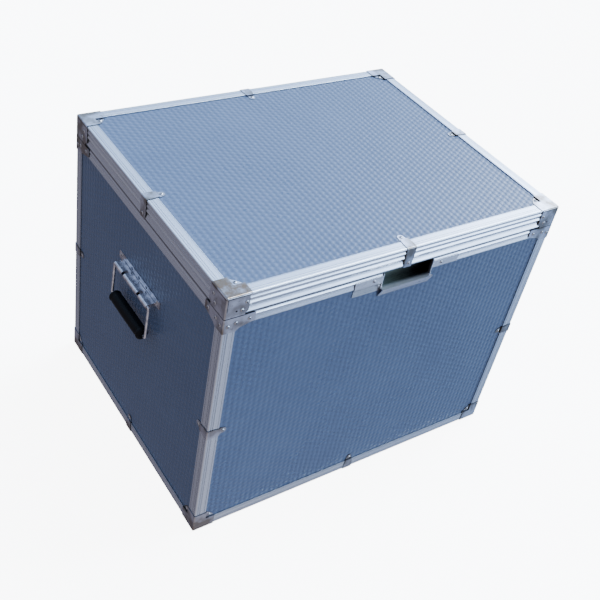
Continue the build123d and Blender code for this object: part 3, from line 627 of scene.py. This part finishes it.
def embossed_panel(node, body, out_axis, out_sign, across, along, notch=()):
    """A closed board whose outer face has real bumps wherever nothing covers it.

    notch is a cut that is open at the top: its two ends on the across axis, and its floor on the along axis.
    """
    low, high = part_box(node)
    face, back = (high, low) if out_sign > 0 else (low, high)
    size_a = high[across] - low[across]
    size_b = high[along] - low[along]
    step = math.sqrt(size_a * size_b / MAX_CELLS)
    a_lines = grid_lines(low[across], high[across], int(size_a / step) + 1, notch[:2])
    b_lines = grid_lines(low[along], high[along], int(size_b / step) + 1, notch[2:])
    rise = bump_rise(a_lines, b_lines)
    outward = Vector((0, 0, 0))
    outward[out_axis] = out_sign
    vertices = []
    for i, a in enumerate(a_lines):
        for j, b in enumerate(b_lines):
            point = Vector((0, 0, 0))
            point[across] = a
            point[along] = b
            point[out_axis] = face[out_axis] + out_sign * COVER_START
            covered = COVER.ray_cast(point, outward, COVER_REACH)[0] is not None
            point[out_axis] = face[out_axis] + (0 if covered else out_sign * rise[i, j])
            vertices.append(tuple(point))
    kept = np.ones((len(a_lines) - 1, len(b_lines) - 1), bool)
    if notch:
        mid_a = (a_lines[1:] + a_lines[:-1]) / 2
        mid_b = (b_lines[1:] + b_lines[:-1]) / 2
        kept &= ~np.outer((mid_a > notch[0]) & (mid_a < notch[1]), mid_b > notch[2])
    faces = sheet_faces(len(a_lines), len(b_lines), kept)
    close_board(vertices, faces, out_axis, back[out_axis])
    vertices, faces = without_strays(vertices, faces)
    skin = panel_skin(f"{node}_skin", across, along)
    name = f"{node.replace('_panel', '')}_embossed_panel"
    new_piece(name, vertices, faces, skin, body, "panel_skin", node)


dish_low, dish_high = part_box("finger_dish")
DISH_MIDDLE = (dish_low.x + dish_high.x) / 2
NOTCH_HALF = 49.0 * MM
NOTCH_LOW = 432.4 * MM
NOTCH = (DISH_MIDDLE - NOTCH_HALF, DISH_MIDDLE + NOTCH_HALF, NOTCH_LOW)
embossed_panel("top_panel", "lid", Z, 1, X, Y)
embossed_panel("front_panel", "base", Y, -1, X, Z, NOTCH)
embossed_panel("rear_panel", "base", Y, 1, X, Z)
embossed_panel("left_panel", "base", X, -1, Y, Z)
embossed_panel("right_panel", "base", X, 1, Y, Z)
embossed_panel("bottom_panel", "base", Z, -1, X, Y)

# ---------------------------------------------------------------- foam lining

FOAM_CELL = 2.6 * MM
EDGE_FALL = 2.5 * MM  # how far a pad's free face drops at its edges,
EDGE_REACH = 4 * MM  # and how far in from them the drop starts
SCORE_PITCH = 25.0 * MM
SCORE_DEEP = 2.2 * MM
SCORE_WIDE = 1.5 * MM
EGG_PITCH = 42.0 * MM
EGG_HALF_DEEP = 5.5 * MM

WALL_THICK = 12.0 * MM
WALL_STEP = 12 * MM
WALL_ROWS = 12
ROUND_FROM = 0.985  # the wall's top edge is round above this share of its height
ROUND_HIGH = 0.015
ROUND_POINTS = 7
ROUND_MARGIN = 0.3  # radians of the half circle left out at each end


def foam_block(name, node, body, fall_at, up=True):
    """A foam pad. fall_at(x, y) is how deep its free face lies, x and y from the pad's low corner."""
    low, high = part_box(node)
    face, back = (high.z, low.z) if up else (low.z, high.z)
    size_x, size_y = high.x - low.x, high.y - low.y
    nx, ny = int(size_x / FOAM_CELL), int(size_y / FOAM_CELL)
    vertices = []
    for i in range(nx + 1):
        for j in range(ny + 1):
            x, y = i / nx * size_x, j / ny * size_y
            edge = min(x, (1 - i / nx) * size_x, y, (1 - j / ny) * size_y)
            fall = fall_at(x, y) + EDGE_FALL * max(0.0, 1 - edge / EDGE_REACH) ** 2
            vertices.append((low.x + x, low.y + y, face - fall if up else face + fall))
    faces = sheet_faces(nx + 1, ny + 1)
    close_board(vertices, faces, Z, back)
    piece = new_piece(name, vertices, faces, FOAM, body, "foam", node)


def scored(x, y):
    """Cut lines of a foam pad that is picked apart to fit what it holds."""
    near = min(abs((place / SCORE_PITCH + 0.5) % 1 - 0.5) for place in (x, y)) * SCORE_PITCH
    return SCORE_DEEP * math.exp(-((near / SCORE_WIDE) ** 2))


def egg_crate(x, y):
    return EGG_HALF_DEEP * (1 - math.cos(2 * math.pi * x / EGG_PITCH) * math.cos(2 * math.pi * y / EGG_PITCH))


def foam_wall():
    """The wall lining: a ring whose top edge is rounded."""
    low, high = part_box("wall_foam")
    outline = []
    for x0, y0, x1, y1 in (
        (low.x, low.y, high.x, low.y),
        (high.x, low.y, high.x, high.y),
        (high.x, high.y, low.x, high.y),
        (low.x, high.y, low.x, low.y),
    ):
        steps = int(math.hypot(x1 - x0, y1 - y0) / WALL_STEP)
        outline += [(x0 + (x1 - x0) * k / steps, y0 + (y1 - y0) * k / steps) for k in range(steps)]
    half_x, half_y = (high.x - low.x) / 2, (high.y - low.y) / 2
    # Each point of the section is a share of the thickness, from outside, and a share of the height
    section = [(0.0, 0.0), (0.0, ROUND_FROM)]
    for angle in np.linspace(ROUND_MARGIN, math.pi - ROUND_MARGIN, ROUND_POINTS):
        section.append((0.5 - 0.5 * math.cos(angle), ROUND_FROM + ROUND_HIGH * math.sin(angle)))
    section.append((1.0, ROUND_FROM))
    section += [(1.0, ROUND_FROM - ROUND_FROM * k / WALL_ROWS) for k in range(1, WALL_ROWS + 1)]
    vertices = []
    height = high.z - low.z
    for x, y in outline:
        for depth, rise in section:
            scale_x = (half_x - WALL_THICK * depth) / half_x
            scale_y = (half_y - WALL_THICK * depth) / half_y
            vertices.append((x * scale_x, y * scale_y, low.z + height * rise))
    faces = tube_faces(len(outline), len(section))
    piece = new_piece("wall_foam_lining", vertices, faces, FOAM, "base", "foam", "wall_foam")


foam_block("floor_foam_pad", "floor_foam", "base", scored)
foam_block("lid_foam_pad", "lid_foam", "lid", egg_crate, up=False)
foam_wall()

# ---------------------------------------------------------------- grips

# Names that end in _IN are distances in from the grip's end
GRIP_BORE = 2.6 * MM
GRIP_ROWS = 60
GRIP_TURNS = 48
CHAMFER = ((0.0, 0.62), (0.8 * MM, 0.80))  # how far in from the end, and the share of the radius there
FIRST_ROW_IN = 1.8 * MM
RIBS = 12
RIBS_IN = 13 * MM
BEAD_IN, BEAD_WIDE = 4 * MM, 2.2 * MM
DIP_IN, DIP_WIDE = 9 * MM, 3.0 * MM
END_REACH = 3 * MM
# Shares of the grip's radius
GRIP_LEAST, GRIP_CROWN, GRIP_MOST = 0.93, 0.03, 0.995
RIB_DEEP, RIBBED_OVER = 0.014, 0.9
BEAD_HIGH = 0.055
DIP_DEEP = 0.04
END_FALL = 0.06


def bell(place, middle, wide):
    return math.exp(-(((place - middle) / wide) ** 2))


def grip(side):
    """A moulded sleeve: crowned, with a bead at each end and shallow ribs round the middle."""
    node = f"{side}_handle_grip"
    low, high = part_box(node)
    centre = (low + high) / 2
    radius = (high.x - low.x) / 2
    half = (high.y - low.y) / 2
    outline = [(-half, GRIP_BORE)]
    outline += [(-half + inwards, radius * share) for inwards, share in CHAMFER]
    for k in range(GRIP_ROWS + 1):
        y = -half + FIRST_ROW_IN + (2 * half - 2 * FIRST_ROW_IN) * k / GRIP_ROWS
        near_end = min(y + half, half - y)
        bead = BEAD_HIGH * bell(near_end, BEAD_IN, BEAD_WIDE)
        dip = DIP_DEEP * bell(near_end, DIP_IN, DIP_WIDE)
        fall = END_FALL * max(0, 1 - near_end / END_REACH)
        crown = GRIP_LEAST + GRIP_CROWN * math.cos(math.pi * y / (2 * half))
        outline.append((y, radius * min(GRIP_MOST, crown + bead - dip - fall)))
    outline += [(half - inwards, radius * share) for inwards, share in reversed(CHAMFER)]
    outline.append((half, GRIP_BORE))
    vertices = []
    for y, r in outline:
        ribbed = r > radius * RIBBED_OVER and abs(y) < half - RIBS_IN
        for t in range(GRIP_TURNS):
            angle = 2 * math.pi * t / GRIP_TURNS
            rib = 1 - RIB_DEEP * (0.5 + 0.5 * math.cos(angle * RIBS)) if ribbed else 1.0
            across, up = r * rib * math.cos(angle), r * rib * math.sin(angle)
            vertices.append((centre.x + across, centre.y + y, centre.z + up))
    faces = tube_faces(len(outline), GRIP_TURNS)
    new_piece(f"{side}_moulded_grip", vertices, faces, RUBBER, f"{side}_handle", "grip", node)


grip("left")
grip("right")
